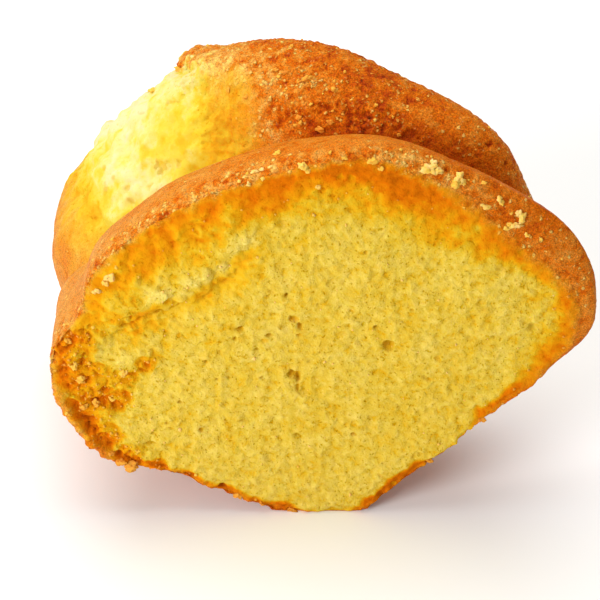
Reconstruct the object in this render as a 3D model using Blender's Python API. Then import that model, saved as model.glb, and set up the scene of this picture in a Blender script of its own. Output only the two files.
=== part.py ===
"""A slice of a fluted rum ring cake, as one solid.

The slice takes in two flutes of the ring. It stands on the flat spot of its domed underside,
with the cut face towards -Y, the ring's middle far off to the right and +Z up. The origin is
at the bottom centre of its box. Sizes are in metres unless a name ends in MM.
"""

import math
from bisect import bisect_right

import bmesh
import bpy
from mathutils import Vector, noise

MM = 0.001

# The cut section seen from the front, in mm: X to the right, Z up from what it stands on.
# It starts at the left end of the flat spot and runs round by the right.
SECTION_MM = (
    (-4.0, 0.0), (9.6, 0.0), (19.5, 8.6), (29.8, 19.1), (39.6, 29.4), (44.6, 37.4),
    (43.0, 45.0), (36.3, 51.6), (25.0, 62.6), (15.0, 68.2), (4.0, 68.9), (-8.0, 65.2),
    (-19.5, 60.0), (-28.5, 52.8), (-33.3, 47.4), (-35.0, 41.0), (-39.4, 34.4), (-39.9, 27.5),
    (-35.3, 16.6), (-29.0, 10.8), (-21.5, 8.6), (-12.5, 4.4),
)
SECTION_POINTS = 96  # corners round each ring of the mesh
HUB_MM = (2.0, 34.0)  # the middle that the section's rings shrink to

# How the sections follow one another from the front cut to the rear cut
FRONT_CREST = 2.8 * MM  # from the cut face back to the top of the front flute, at X = 0
FLUTE_PITCH = 27.6 * MM  # from crest to crest, at X = 0
REAR_CUT = 43.0 * MM  # from the front cut to the rear cut, at X = 0
TURN_PER_M = math.radians(570)  # how fast the sections turn round the ring's middle
DRIFT_PER_M = -0.115  # how far they drift to the left as they go back
CRUST_RINGS = 26
FRONT_FACE_RINGS = 13
REAR_FACE_RINGS = 7

# Depth of the groove between the flutes, and how far each flute's crest stands out past the
# cut section, in mm, against the angle round the hub in degrees: 0 right, 90 up, 180 left
GROOVE_MM = ((-30, 0.0), (8, 4.0), (45, 11.0), (140, 11.0), (190, 5.8), (240, 0.0))
FRONT_SWELL_MM = ((-8, 0.0), (8, 2.4), (28, 6.7), (60, 2.2), (90, 0.6), (175, -0.8), (215, 0.0))
REAR_SWELL_MM = ((-8, 0.0), (8, 1.8), (38, 6.9), (66, 2.3), (105, 3.4), (150, 1.3), (182, 0.9))
GROOVE_SHARPNESS = 0.93  # 1 would bring the flutes together at a knife edge
SWELL_CHANGE = (0.25, 0.75)  # shares of the pitch between which one swell gives way to the next

# Relief
CRUST_WAVE, CRUST_WAVE_SIZE = 0.55 * MM, 11 * MM
FACE_WAVE, FACE_WAVE_SIZE = 0.5 * MM, 8 * MM
FACE_MARGIN = 0.1  # the outer share of a cut face over which its relief fades out
CRAG, CRAG_SIZE = 0.9 * MM, 3.2 * MM
SINK = 0.35 * MM  # how much of the underside's bumps is pressed flat by standing

# The patch of the rear flute whose crust tore away, by the angle round the hub in degrees: its
# broken edge runs from one angle to the other over these depths from the cut, and to the left
# of it the patch runs out to nothing
TEAR_EDGE_ANGLES = (107.0, 121.0)
TEAR_EDGE_SPAN = (22.0 * MM, 37.0 * MM)
TEAR_EDGE_SOFTNESS, TEAR_EDGE_RAG = 4.0, 5.0
TEAR_END_ANGLES = (146.0, 186.0)
TEAR_FOOT = (10.0 * MM, 16.0 * MM)  # the depths over which it starts, down in the groove
TEAR_DEPTH = 2.5 * MM
TEAR_RAG_SIZE = 4.5 * MM

# The ledge where the knife lifted the crumb at the upper left of the cut face: it runs along
# these points, and the face is hollow just below it
LEDGE_MM = ((-33.0, 36.5), (-26.5, 40.3), (-17.2, 44.8), (-11.3, 50.0), (-6.0, 55.0))
LEDGE_LIFT, LEDGE_HOLLOW = 1.1 * MM, 1.9 * MM
LEDGE_SLOPE_MM, LEDGE_REACH_MM, LEDGE_FADE_MM = 1.5, 8.0, 5.0

CRUMB_COLOUR = (0.79, 0.53, 0.055, 1.0)
CRUMB_ROUGHNESS = 0.85


def clear_scene():
    for old in list(bpy.data.objects):
        bpy.data.objects.remove(old)


def eased(low, high, value):
    """0 at low and before it, 1 at high and past it, and a smooth step between."""
    share = min(1.0, max(0.0, (value - low) / (high - low)))
    return share * share * (3 - 2 * share)


def read_off(table, x):
    """The value at x of a table of (x, value) rows, eased from row to row."""
    if x <= table[0][0]:
        return table[0][1]
    for (x0, y0), (x1, y1) in zip(table, table[1:]):
        if x <= x1:
            return y0 + (y1 - y0) * eased(x0, x1, x)
    return table[-1][1]


def closed_curve(corners, steps=24):
    """A smooth closed curve through the corners, as a fine polygon."""
    count = len(corners)
    points = []
    for i in range(count):
        p0, p1, p2, p3 = (Vector(corners[(i + k) % count]) for k in (-1, 0, 1, 2))
        for step in range(steps):
            t = step / steps
            points.append(
                0.5 * (2 * p1 + (p2 - p0) * t + (2 * p0 - 5 * p1 + 4 * p2 - p3) * t**2
                       + (3 * p1 - p0 - 3 * p2 + p3) * t**3)
            )
    return points


def spaced_evenly(points, count):
    """The closed polygon walked round in count equal steps."""
    lengths = [0.0]
    for a, b in zip(points, points[1:] + points[:1]):
        lengths.append(lengths[-1] + (b - a).length)
    walked = []
    for k in range(count):
        goal = lengths[-1] * k / count
        i = bisect_right(lengths, goal) - 1
        share = (goal - lengths[i]) / (lengths[i + 1] - lengths[i])
        walked.append(points[i].lerp(points[(i + 1) % len(points)], share))
    return walked


def angle_of(ray):
    """The angle of a section point round the hub, from -90 at the bottom to 270."""
    return (math.degrees(math.atan2(ray[1], ray[0])) + 90) % 360 - 90


def flute_dip(back):
    """0 on a flute's crest and 1 in the groove between two flutes, at this depth from the cut."""
    share = abs((back - FRONT_CREST) / FLUTE_PITCH % 1.0 - 0.5) * 2
    reach = GROOVE_SHARPNESS * (1 - share)
    return (1 - math.sqrt(1 - reach**2)) / (1 - math.sqrt(1 - GROOVE_SHARPNESS**2))


def tear_mask(angle, back, spot):
    """1 inside the torn patch of the rear flute and 0 outside, with a ragged broken edge."""
    low, high = TEAR_EDGE_ANGLES
    edge = low + (high - low) * eased(*TEAR_EDGE_SPAN, back)
    past = angle - edge + TEAR_EDGE_RAG * noise.noise(spot / TEAR_RAG_SIZE)
    broken = eased(-TEAR_EDGE_SOFTNESS, TEAR_EDGE_SOFTNESS, past)
    return broken * (1 - eased(*TEAR_END_ANGLES, angle)) * eased(*TEAR_FOOT, back)


def relief(point, height, size):
    """Uneven relief of this height, with bumps of this size."""
    return height * noise.noise(point / size)


def placed(ray_mm, back):
    """A section point, given from the hub, in the slice at this depth behind the cut."""
    x = (HUB_MM[0] + ray_mm[0]) * MM
    z = (HUB_MM[1] + ray_mm[1]) * MM
    turn = back * TURN_PER_M
    return Vector((DRIFT_PER_M * back + x * math.cos(turn), back - x * math.sin(turn), z))


def crust_ray(ray_mm, back):
    """The section point with the swell, the groove and the torn patch at this depth."""
    angle = angle_of(ray_mm)
    swell = read_off(FRONT_SWELL_MM, angle) * math.sin(math.pi / 2 * min(1.0, back / FRONT_CREST))
    rearward = eased(*SWELL_CHANGE, (back - FRONT_CREST) / FLUTE_PITCH)
    swell += (read_off(REAR_SWELL_MM, angle) - swell) * rearward
    groove = read_off(GROOVE_MM, angle) * (flute_dip(back) - flute_dip(0.0))
    spot = placed(ray_mm, back)
    torn = tear_mask(angle, back, spot)
    out = swell - groove - torn * TEAR_DEPTH / MM
    out += relief(spot, CRUST_WAVE, CRUST_WAVE_SIZE) / MM
    out += torn * relief(spot, CRAG, CRAG_SIZE) / MM
    return ray_mm + ray_mm.normalized() * out


def ledge_step(x_mm, z_mm):
    """How far the cut face stands back at a point: less than 0 above the ledge's line, where
    the crumb is lifted, and more than 0 just below it."""
    spot = Vector((x_mm, z_mm))
    nearest, above = math.inf, 0.0
    for a, b in zip(LEDGE_MM, LEDGE_MM[1:]):
        run = Vector(b) - Vector(a)
        share = min(1.0, max(0.0, (spot - Vector(a)).dot(run) / run.length_squared))
        gap = spot - (Vector(a) + run * share)
        if gap.length < nearest:
            nearest = gap.length
            above = run.cross(gap) / run.length
    side = 2 * eased(-LEDGE_SLOPE_MM, LEDGE_SLOPE_MM, above) - 1
    height = -LEDGE_LIFT if side > 0 else LEDGE_HOLLOW
    inward = min(x_mm - LEDGE_MM[0][0], LEDGE_MM[-1][0] - x_mm)
    near = 1 - eased(0.0, LEDGE_REACH_MM, nearest)
    return height * abs(side) * near * eased(0.0, LEDGE_FADE_MM, inward)


def face_ring(outline, share, back, away):
    """A ring of a cut face, shrunk to this share of the outline, with the crumb's relief."""
    ring = []
    for ray in outline:
        spot = placed(ray * share, back)
        inside = eased(0.0, FACE_MARGIN, 1 - share)
        depth = relief(spot, FACE_WAVE, FACE_WAVE_SIZE)
        if back == 0.0:
            depth += ledge_step(spot.x / MM, spot.z / MM)
        ring.append(spot + away * depth * inside)
    return ring


def rings():
    """Every ring of the slice, from the middle of the front face to that of the rear face."""
    curve = closed_curve([Vector(c) - Vector(HUB_MM) for c in SECTION_MM])
    outline = spaced_evenly(curve, SECTION_POINTS)
    back = [REAR_CUT * k / CRUST_RINGS for k in range(CRUST_RINGS + 1)]
    crust = [[placed(crust_ray(ray, depth), depth) for ray in outline] for depth in back]
    front = [crust_ray(ray, 0.0) for ray in outline]
    rear = [crust_ray(ray, REAR_CUT) for ray in outline]
    turn = REAR_CUT * TURN_PER_M
    rear_away = Vector((-math.sin(turn), -math.cos(turn), 0.0))
    for k in range(1, FRONT_FACE_RINGS):
        yield face_ring(front, k / FRONT_FACE_RINGS, 0.0, Vector((0.0, 1.0, 0.0)))
    yield from crust
    for k in reversed(range(1, REAR_FACE_RINGS)):
        yield face_ring(rear, k / REAR_FACE_RINGS, REAR_CUT, rear_away)


def extruded(shape, end, ring):
    """Extrudes the open end, a loop of corners, on to the next ring and gives the new end."""
    edges = [shape.edges.get((a, b)) for a, b in zip(end, end[1:] + end[:1])]
    made = bmesh.ops.extrude_edge_only(shape, edges=edges)["geom"]
    fresh = {part for part in made if isinstance(part, bmesh.types.BMVert)}
    new = [next(edge.other_vert(corner) for edge in corner.link_edges
                if edge.other_vert(corner) in fresh) for corner in end]
    for corner, spot in zip(new, ring):
        corner.co = spot
    return new


def make_slice():
    shape = bmesh.new()
    every_ring = list(rings())
    end = [shape.verts.new(spot) for spot in every_ring[0]]
    shape.faces.new(end)
    for ring in every_ring[1:]:
        end = extruded(shape, end, ring)
    shape.faces.new(end)
    for corner in shape.verts:
        corner.co.z = max(0.0, corner.co.z - SINK)
    middle = [(min(c.co[k] for c in shape.verts) + max(c.co[k] for c in shape.verts)) / 2
              for k in (0, 1)]
    bmesh.ops.translate(shape, verts=shape.verts, vec=(-middle[0], -middle[1], 0.0))
    bmesh.ops.triangulate(shape, faces=shape.faces)
    bmesh.ops.recalc_face_normals(shape, faces=shape.faces)
    mesh = bpy.data.meshes.new("cake_slice")
    shape.to_mesh(mesh)
    shape.free()
    mesh.shade_smooth()
    mesh.set_sharp_from_angle(angle=math.radians(45))
    return mesh


def crumb_material():
    material = bpy.data.materials.new("golden_crumb")
    material.use_nodes = True
    surface = material.node_tree.nodes["Principled BSDF"]
    surface.inputs["Base Color"].default_value = CRUMB_COLOUR
    surface.inputs["Roughness"].default_value = CRUMB_ROUGHNESS
    surface.inputs["Metallic"].default_value = 0.0
    return material


def main():
    clear_scene()
    cake = bpy.data.objects.new("cake_slice", make_slice())
    cake.data.materials.append(crumb_material())
    bpy.context.scene.collection.objects.link(cake)


main()
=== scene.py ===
"""The looks of the rum cake slice: pored crumb, browned crust, a torn patch and loose crumbs.

Laid out as a Blender add-on and run as a script. Everything is in metres, in the frame of the
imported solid: the cut face looks towards -Y, and the ring's middle lies to the right.
"""

import math
import random

import bmesh
import bpy
import numpy as np
from bpy.props import FloatProperty, FloatVectorProperty, IntProperty, PointerProperty
from mathutils import Matrix, Vector, kdtree, noise
from mathutils.bvhtree import BVHTree


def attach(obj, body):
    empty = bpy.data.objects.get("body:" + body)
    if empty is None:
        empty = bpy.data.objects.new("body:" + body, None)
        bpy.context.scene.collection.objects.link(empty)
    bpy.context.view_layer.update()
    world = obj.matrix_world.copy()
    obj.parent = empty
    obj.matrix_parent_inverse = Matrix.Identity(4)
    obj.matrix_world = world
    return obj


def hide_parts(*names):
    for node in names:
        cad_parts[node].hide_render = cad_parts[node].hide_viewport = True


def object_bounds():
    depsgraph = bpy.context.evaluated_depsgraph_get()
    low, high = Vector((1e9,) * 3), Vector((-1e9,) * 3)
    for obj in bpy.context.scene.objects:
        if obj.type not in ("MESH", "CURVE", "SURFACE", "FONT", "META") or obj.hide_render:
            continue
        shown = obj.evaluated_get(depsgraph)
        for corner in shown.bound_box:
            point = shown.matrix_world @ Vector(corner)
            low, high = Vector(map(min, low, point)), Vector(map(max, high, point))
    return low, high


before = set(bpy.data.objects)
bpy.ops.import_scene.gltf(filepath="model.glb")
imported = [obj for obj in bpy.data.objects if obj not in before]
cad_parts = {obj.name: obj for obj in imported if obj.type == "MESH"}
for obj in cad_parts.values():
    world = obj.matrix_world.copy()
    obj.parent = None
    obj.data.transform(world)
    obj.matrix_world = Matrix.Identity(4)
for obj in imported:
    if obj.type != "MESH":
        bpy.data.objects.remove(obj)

bl_info = {
    "name": "Rum Cake Slice",
    "version": (1, 0, 0),
    "blender": (4, 5, 0),
    "location": "View3D > Sidebar > Rum Cake",
    "description": "Dresses a slice of rum ring cake with crumb, crust and crumbs",
    "category": "Add Mesh",
}

MM = 0.001
CAD_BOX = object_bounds()
CAD_LOW, CAD_HIGH = (np.array(corner) for corner in CAD_BOX)
SOLID = "cake_slice"

# How the sections of the ring follow one another from the front cut to the rear cut. Each one
# turns and drifts with its depth, and its hub, given across and up, is where angles are taken
FRONT_CUT_Y = -28.6 * MM
SECTION_SHIFT = -1.94 * MM  # from the photo's middle to the solid's middle, along X
HUB = (2.0 * MM, 34.0 * MM)
FRONT_CREST = 2.8 * MM
FLUTE_PITCH = 27.6 * MM
REAR_CUT = 43.0 * MM
TURN_PER_M = math.radians(570)
DRIFT_PER_M = -0.115

# The torn patch of the rear flute: its broken edge runs from one angle round the hub to the
# other over these depths from the cut, and to the left of it the patch runs out to nothing
TEAR_EDGE_ANGLES = (107.0, 121.0)
TEAR_EDGE_SPAN = (22.0 * MM, 37.0 * MM)
TEAR_END_ANGLES = (168.0, 184.0)
TEAR_FOOT = (13.5 * MM, 16.5 * MM)
TEAR_RAG, TEAR_RAG_SIZE = 5.0, 4.5 * MM  # how many degrees its edge wanders, and over what run
TORN_LIFT_MM = (  # how far the patch stands out, against the angle round the hub
    (108, 0.0), (118, 1.1), (126, 1.0), (134, 0.5), (140, 0.6), (148, 0.2), (158, -0.8), (162, -0.1),
    (168, 0.3), (178, 0.1), (184, 0.0),
)

# Heights of the relief
CRUST_STEP = 0.6 * MM  # of the crust's broken edge over the crumb
LUMP_HEIGHT = 0.8 * MM  # on the cut face's upper left
CRAG_HEIGHT, CRAG_SINK = 0.6 * MM, 0.1 * MM  # in the crumbled corner
LEDGE_HEIGHT, HOLLOW_FILL = 0.2 * MM, 0.6 * MM
EDGE_ROUNDING = 0.45 * MM  # of the cut faces' rims
SIDE_FULLNESS, CORNER_FULLNESS = 1.2 * MM, 1.2 * MM  # of the left side's outline
RAG_HEIGHT = 0.7 * MM  # of the front cut's lower rim

# Unevenness, in layers of smooth noise: strength or height, size of its bumps in mm, and seed
EDGE_WANDER = ((0.9 * MM, 2.2, 0.0), (0.7 * MM, 0.9, 0.0))
SCUFF_WANDER = ((1.6 * MM, 2.4, 5.0), (1.2 * MM, 0.8, 1.0))
CORNER_WANDER = ((0.3, 2.5, 6.0), (0.2, 1.2, 2.0))
LEDGE_SWAY = ((1.0 * MM, 2.2, 5.0), (0.6 * MM, 0.9, 9.0))
TORN_SWELL = ((0.9 * MM, 4.5, 2.0), (0.5 * MM, 1.8, 4.0))
FACE_SWELL = ((0.3 * MM, 2.4, 1.0), (0.36 * MM, 1.0, 6.0))
FACE_LUMPS = ((1.0, 3.4, 7.0), (0.5, 1.4, 8.0))
CORNER_CRAGS = ((2.2, 3.0, 3.0), (1.1, 1.3, 5.0))
RIM_CRUMBLE = ((1.6, 1.6, 2.5), (1.2, 0.7, 4.5))
RIM_RAGS = ((1.0, 4.0, 3.5), (0.5, 1.3, 1.5))
BROWN_PATCHES = ((1.0, 6.0, 1.5), (0.5, 2.5, 2.5))
BROWN_RAGS = ((1.0, 1.5, 4.5), (0.6, 0.7, 7.5))
GOLDEN_STAINS = ((1.0, 2.6, 8.5), (0.5, 1.2, 3.5))

# The photo's camera: it looks along +Y and down, at the photo's middle on the cut face
PHOTO_SIZE = 600
CAMERA_LENS, CAMERA_SENSOR = 135.0, 36.0
CAMERA_ELEVATION = math.radians(35)
CAMERA_DISTANCE = 351 * MM
CAMERA_AIM = Vector((SECTION_SHIFT, FRONT_CUT_Y, 43.3 * MM))

# Mesh of the slice; what the photo doesn't show gets fewer triangles
SHARP_ANGLE = math.radians(40)
FINE_VOXEL = 0.26 * MM
HIDDEN_TRIANGLES = 62000
CAKE_TRIANGLES = 196000

PORES_SEED, CRUMBS_SEED = 11, 23

# Pores of the cut face and pits of the torn patch: photo pixel; width, height and depth in mm
MAIN_PORES = (
    ((294, 319), 1.5, 1.6, 1.2), ((300, 327), 1.0, 1.6, 1.2), ((299, 335), 1.0, 0.7, 0.8),
    ((292, 374), 1.8, 1.5, 1.2), ((298, 377), 1.2, 1.9, 1.4), ((298, 388), 0.6, 1.8, 0.9),
    ((389, 346), 1.9, 2.2, 1.4), ((269, 336), 1.3, 0.6, 0.8), ((263, 342), 0.9, 0.6, 0.6),
    ((240, 329), 1.3, 1.1, 1.2), ((235, 340), 0.7, 1.3, 1.0), ((256, 350), 1.0, 0.5, 0.6),
    ((262, 377), 1.0, 0.6, 0.7), ((286, 296), 0.7, 0.8, 0.7), ((268, 297), 0.8, 0.6, 0.7),
    ((376, 327), 0.9, 0.7, 0.8), ((320, 352), 0.6, 0.6, 0.7), ((243, 421), 1.3, 0.6, 0.8),
    ((217, 380), 0.6, 0.6, 0.7), ((206, 362), 0.6, 0.8, 0.8), ((229, 379), 0.5, 0.5, 0.6),
    ((297, 435), 1.0, 0.7, 0.8), ((354, 435), 1.4, 0.8, 0.9), ((365, 253), 0.8, 0.8, 0.8),
    ((352, 312), 1.4, 0.4, 0.6), ((382, 230), 0.7, 0.6, 0.7), ((429, 379), 0.7, 0.9, 0.9),
    ((412, 310), 0.6, 0.5, 0.6), ((468, 300), 0.7, 0.5, 0.6), ((201, 430), 0.8, 0.9, 0.9),
    ((166, 423), 1.0, 0.5, 0.9), ((172, 428), 1.0, 0.6, 0.6), ((153, 434), 0.6, 0.5, 0.8),
    ((149, 444), 2.0, 0.6, 1.0), ((180, 403), 0.8, 0.6, 0.7),
)
TORN_PITS = (
    ((159, 166), 2.6, 2.0, 1.3), ((180, 166), 0.9, 1.5, 0.8), ((172, 104), 3.0, 1.6, 1.1),
    ((186, 88), 1.8, 0.9, 0.7), ((154, 92), 1.6, 0.7, 0.5), ((142, 114), 1.8, 0.7, 0.5),
    ((130, 201), 1.3, 1.1, 0.9), ((126, 188), 1.2, 1.0, 0.8), ((150, 188), 1.5, 1.3, 0.9),
    ((104, 191), 1.0, 2.4, 0.8), ((104, 168), 2.0, 1.0, 0.7), ((98, 204), 1.4, 0.8, 0.7),
    ((114, 178), 0.9, 0.9, 0.6), ((80, 184), 1.2, 1.5, 0.6), ((204, 144), 1.6, 1.1, 0.7),
    ((222, 154), 2.0, 0.8, 0.7), ((205, 118), 1.4, 0.9, 0.6),
)

# Hollows darkened with painted shade and browning, and paler raised spots below 0: photo pixel; width,
# height, depth in mm; browning
BROWN_SPOTS = (
    # crumbled corner at the lower left
    ((70, 341), 4.0, 3.0, 0.7, 0.34), ((91, 331), 2.2, 2.8, 1.1, 0.40), ((60, 360), 2.0, 3.4, 0.7, 0.36),
    ((65, 369), 2.4, 2.6, 0.6, 0.30), ((84, 363), 1.6, 2.2, 1.3, 0.34), ((76, 394), 2.6, 3.4, 0.8, 0.34),
    ((88, 380), 2.4, 1.6, 0.7, 0.24), ((106, 390), 1.5, 1.4, 1.2, 0.50), ((105, 402), 3.4, 1.8, 1.3, 0.52),
    ((117, 406), 1.8, 1.4, 1.2, 0.46), ((91, 420), 2.0, 1.8, 0.9, 0.34), ((93, 430), 2.0, 2.4, 1.1, 0.50),
    ((103, 434), 2.0, 1.6, 0.8, 0.40), ((111, 445), 3.6, 2.2, 0.7, 0.36), ((126, 455), 3.0, 1.8, 0.6, 0.36),
    ((141, 462), 3.4, 1.4, 0.5, 0.30), ((118, 384), 1.4, 1.4, 0.7, 0.22), ((100, 372), 2.2, 1.4, 0.5, 0.12),
    # seam that runs up from it
    ((146, 366), 1.5, 1.3, 0.6, 0.36), ((140, 371), 1.8, 1.5, 0.6, 0.34), ((133, 376), 2.2, 1.8, 0.6, 0.32),
    ((126, 380), 2.2, 1.8, 0.5, 0.30), ((129, 393), 2.0, 3.0, 0.4, 0.22), ((124, 405), 2.0, 2.2, 0.4, 0.24),
    ((154, 355), 2.0, 1.6, 0.4, 0.24), ((164, 345), 1.8, 1.2, 0.4, 0.18), ((160, 372), 2.2, 1.6, 0.2, 0.12),
    # pocket under the ledge, darkened with painted shade
    ((131, 321), 2.2, 2.4, 1.0, 0.34), ((143, 312), 2.4, 1.0, 0.9, 0.36), ((140, 331), 4.0, 2.8, 0.2, 0.20),
    ((152, 325), 3.4, 2.6, 0.2, 0.17), ((166, 333), 2.6, 1.6, 0.2, 0.16), ((163, 317), 3.4, 2.0, 0.2, 0.14),
    # slit under the crust at the top
    ((329, 192), 3.2, 1.2, 0.4, 0.26),
    # between the crumbs at the upper right, darkened with painted shade
    ((490, 213), 3.6, 1.8, 0.3, 0.20), ((504, 218), 2.8, 1.8, 0.4, 0.26), ((474, 236), 1.8, 1.4, 0.2, 0.14),
    ((447, 170), 0.9, 0.9, 0.5, 0.80), ((488, 144), 0.9, 1.2, 0.6, 0.80), ((506, 164), 0.7, 0.7, 0.4, 0.60),
    # hollows and paler, grainier patches of the rear crust
    ((289, 114), 3.0, 2.4, 0.5, 0.34), ((309, 121), 1.8, 1.4, 0.6, 0.32), ((328, 107), 3.6, 1.6, 0.6, 0.40),
    ((337, 105), 1.2, 1.2, 0.6, 0.54), ((357, 118), 4.0, 2.6, 0.4, 0.46), ((391, 120), 2.8, 2.4, 0.5, 0.34),
    ((411, 135), 2.6, 2.0, 0.6, 0.22), ((398, 127), 1.4, 1.4, 0.5, 0.40), ((263, 126), 4.0, 2.0, 0.2, 0.16),
    ((277, 128), 3.6, 1.6, 0.3, 0.18), ((275, 72), 6.0, 4.0, -0.2, -0.10), ((306, 80), 3.0, 2.0, -0.3, -0.14),
    ((333, 92), 3.0, 1.6, -0.3, -0.12), ((300, 68), 2.6, 1.6, -0.3, -0.12),
    ((348, 103), 2.6, 1.6, -0.3, -0.12), ((254, 80), 4.0, 3.0, -0.2, -0.10),
    ((320, 128), 3.0, 1.4, -0.4, -0.16), ((300, 124), 1.6, 1.4, -0.4, -0.16),
)

# Crumbs that cling to the slice: photo pixel; width, height in mm; browning
CLINGING_CRUMBS = (
    ((430, 168), 2.2, 1.4, 0.13), ((437, 171), 1.4, 1.0, 0.15), ((424, 170), 1.5, 0.7, 0.16),
    ((433, 163), 0.9, 0.9, 0.09), ((459, 177), 1.4, 1.7, 0.13), ((456, 184), 1.5, 1.0, 0.24),
    ((463, 182), 0.9, 1.0, 0.15), ((487, 207), 1.3, 0.8, 0.15), ((483, 205), 0.7, 0.5, 0.16),
    ((499, 199), 0.9, 0.9, 0.16), ((502, 203), 0.7, 0.7, 0.20), ((519, 213), 0.9, 1.2, 0.11),
    ((522, 219), 1.1, 1.5, 0.15), ((516, 225), 1.7, 0.9, 0.14), ((509, 224), 1.0, 0.6, 0.20),
    ((507, 228), 1.2, 0.6, 0.20), ((527, 235), 0.7, 0.7, 0.18), ((541, 239), 0.6, 0.7, 0.24),
    ((484, 183), 0.7, 0.6, 0.30), ((110, 277), 1.4, 1.3, 0.11), ((106, 283), 0.9, 0.8, 0.14),
    ((96, 291), 1.2, 1.0, 0.12), ((303, 166), 1.3, 1.0, 0.20), ((308, 171), 0.7, 0.6, 0.20),
    ((318, 187), 0.9, 0.6, 0.16), ((373, 161), 1.4, 1.0, 0.26), ((381, 169), 0.8, 0.6, 0.24),
    # the palest crumbs at about (245..270, 167..184) also stand for glints there: painted highlights
    ((278, 154), 1.0, 0.8, 0.28), ((344, 158), 0.8, 0.5, 0.30), ((255, 172), 1.1, 0.6, 0.07),
    ((262, 170), 0.8, 0.5, 0.05), ((245, 177), 0.8, 0.5, 0.11), ((270, 167), 0.8, 0.4, 0.11),
    ((249, 184), 0.7, 0.6, 0.15), ((263, 179), 0.6, 0.5, 0.14), ((178, 69), 1.4, 0.8, 0.30),
    ((150, 88), 1.2, 0.7, 0.20), ((307, 78), 1.2, 0.9, 0.40), ((299, 82), 0.8, 0.7, 0.44),
    ((276, 70), 0.9, 0.7, 0.42), ((284, 73), 0.9, 0.6, 0.48), ((334, 90), 1.1, 0.8, 0.36),
    ((299, 118), 0.9, 0.9, 0.46), ((301, 123), 0.6, 0.6, 0.34), ((320, 129), 1.4, 0.8, 0.50),
    ((330, 122), 1.2, 0.8, 0.50), ((311, 104), 0.5, 0.5, 0.22), ((229, 90), 1.0, 0.7, 0.36),
    ((246, 98), 0.9, 0.6, 0.42), ((376, 105), 0.5, 0.5, 0.28), ((375, 120), 0.5, 0.5, 0.24),
    ((393, 117), 0.4, 0.4, 0.28), ((399, 135), 0.8, 0.6, 0.50), ((489, 128), 0.5, 0.6, 0.30),
    ((127, 470), 2.0, 1.6, 0.38), ((121, 462), 1.6, 1.2, 0.42), ((133, 467), 1.4, 1.0, 0.34),
    ((111, 453), 1.2, 0.9, 0.40), ((236, 501), 1.4, 0.9, 0.40), ((292, 510), 1.6, 0.8, 0.44),
    ((123, 373), 1.2, 1.4, 0.20), ((80, 379), 1.4, 1.2, 0.24), ((74, 366), 1.1, 1.4, 0.24),
    ((68, 341), 1.0, 1.0, 0.28), ((96, 402), 1.2, 1.0, 0.30), ((84, 406), 1.3, 1.0, 0.32),
    ((112, 398), 1.0, 0.8, 0.24), ((431, 463), 1.1, 0.8, 0.44), ((488, 424), 1.2, 0.8, 0.44),
)

# The lifted ledge at the upper left of the cut face, in photo pixels, from left to right
LEDGE = (
    (112, 327), (130, 316), (143, 307), (154, 300), (166, 299), (180, 297), (191, 291), (203, 283),
    (215, 277), (226, 268), (229, 259), (240, 252), (253, 246),
)

# The crumbled corner of the cut face: photo pixels of discs that cover it, and their sizes in mm
CRUMBLED = (
    ((62, 350), 6.0), ((78, 345), 6.0), ((80, 375), 8.0), ((98, 380), 7.0), ((90, 410), 8.0),
    ((112, 400), 6.0), ((106, 434), 6.0), ((128, 378), 4.0), ((146, 364), 3.5), ((130, 452), 4.5),
    ((160, 466), 3.0), ((190, 479), 2.6), ((222, 490), 2.4), ((255, 502), 2.6), ((280, 508), 2.2),
)

# Against the angle round the hub (0 right, 90 up, 180 left): how far the browning reaches into
# the crumb, in mm, and how strong it is; where the front cut has no crust left at its rim, and
# over how many mm the crust otherwise fades into crumb there; and how dark the front and rear
# flutes' crusts are, darker towards the right and the bottom
UNDER_CRUST_MM = (
    (-90, 0.6), (-80, 0.6), (-74, 2.4), (-54, 2.4), (-48, 0.5), (-33, 0.5), (-24, 2.8), (-8, 3.4),
    (5, 3.2), (20, 4.2), (45, 5.2), (70, 5.2), (100, 5.0), (125, 6.5), (150, 6.0), (175, 4.0),
    (200, 2.6), (215, 2.0), (235, 1.8), (262, 1.8), (267, 0.6), (270, 0.6),
)
UNDER_CRUST_BROWNING = (
    (-90, 0.10), (-80, 0.10), (-74, 0.52), (-54, 0.52), (-48, 0.10), (-33, 0.10), (-24, 0.50),
    (0, 0.46), (50, 0.40), (90, 0.36), (125, 0.28), (150, 0.17), (170, 0.18), (200, 0.26),
    (230, 0.38), (262, 0.48), (267, 0.10), (270, 0.10),
)
BARE_EDGE = ((-90, 1), (-79, 1), (-75, 0), (-52, 0), (-48, 1), (-31, 1), (-27, 0), (263, 0), (268, 1))
RIM_FADE_MM = ((-40, 1.4), (-15, 2.6), (0, 3.4), (40, 3.4), (62, 2.2), (90, 2.0))
FRONT_BROWNING = (
    (-90, 0.62), (-20, 0.52), (5, 0.43), (24, 0.48), (33, 0.56), (43, 0.52), (60, 0.47), (85, 0.43),
    (115, 0.40), (124, 0.36), (160, 0.33), (190, 0.33), (215, 0.44), (250, 0.55), (270, 0.62),
)
REAR_BROWNING = (
    (-90, 0.62), (0, 0.44), (45, 0.50), (63, 0.58), (72, 0.57), (81, 0.53), (95, 0.50), (103, 0.47),
    (110, 0.42), (180, 0.35), (200, 0.38), (240, 0.55), (270, 0.62),
)


def eased(low, high, value):
    """0 at low and before it, 1 at high and past it, and a smooth step between."""
    share = np.clip((value - low) / (high - low), 0.0, 1.0)
    return share * share * (3 - 2 * share)


def read_off(table, x):
    """The values at x of a table of (x, value) rows."""
    return np.interp(x, [row[0] for row in table], [row[1] for row in table])


def noise_at(points, size, seed=0.0):
    """Smooth noise between about -0.7 and 0.7 at each point, with bumps of this size."""
    return np.array([noise.noise(p) for p in (points / size + seed).tolist()])


def billows(points, size, seed=0.0):
    """Rounded lumps of about this size with creases between them, from about -0.2 to 0.4."""
    return np.abs(noise_at(points, size, seed)) - 0.2


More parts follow.
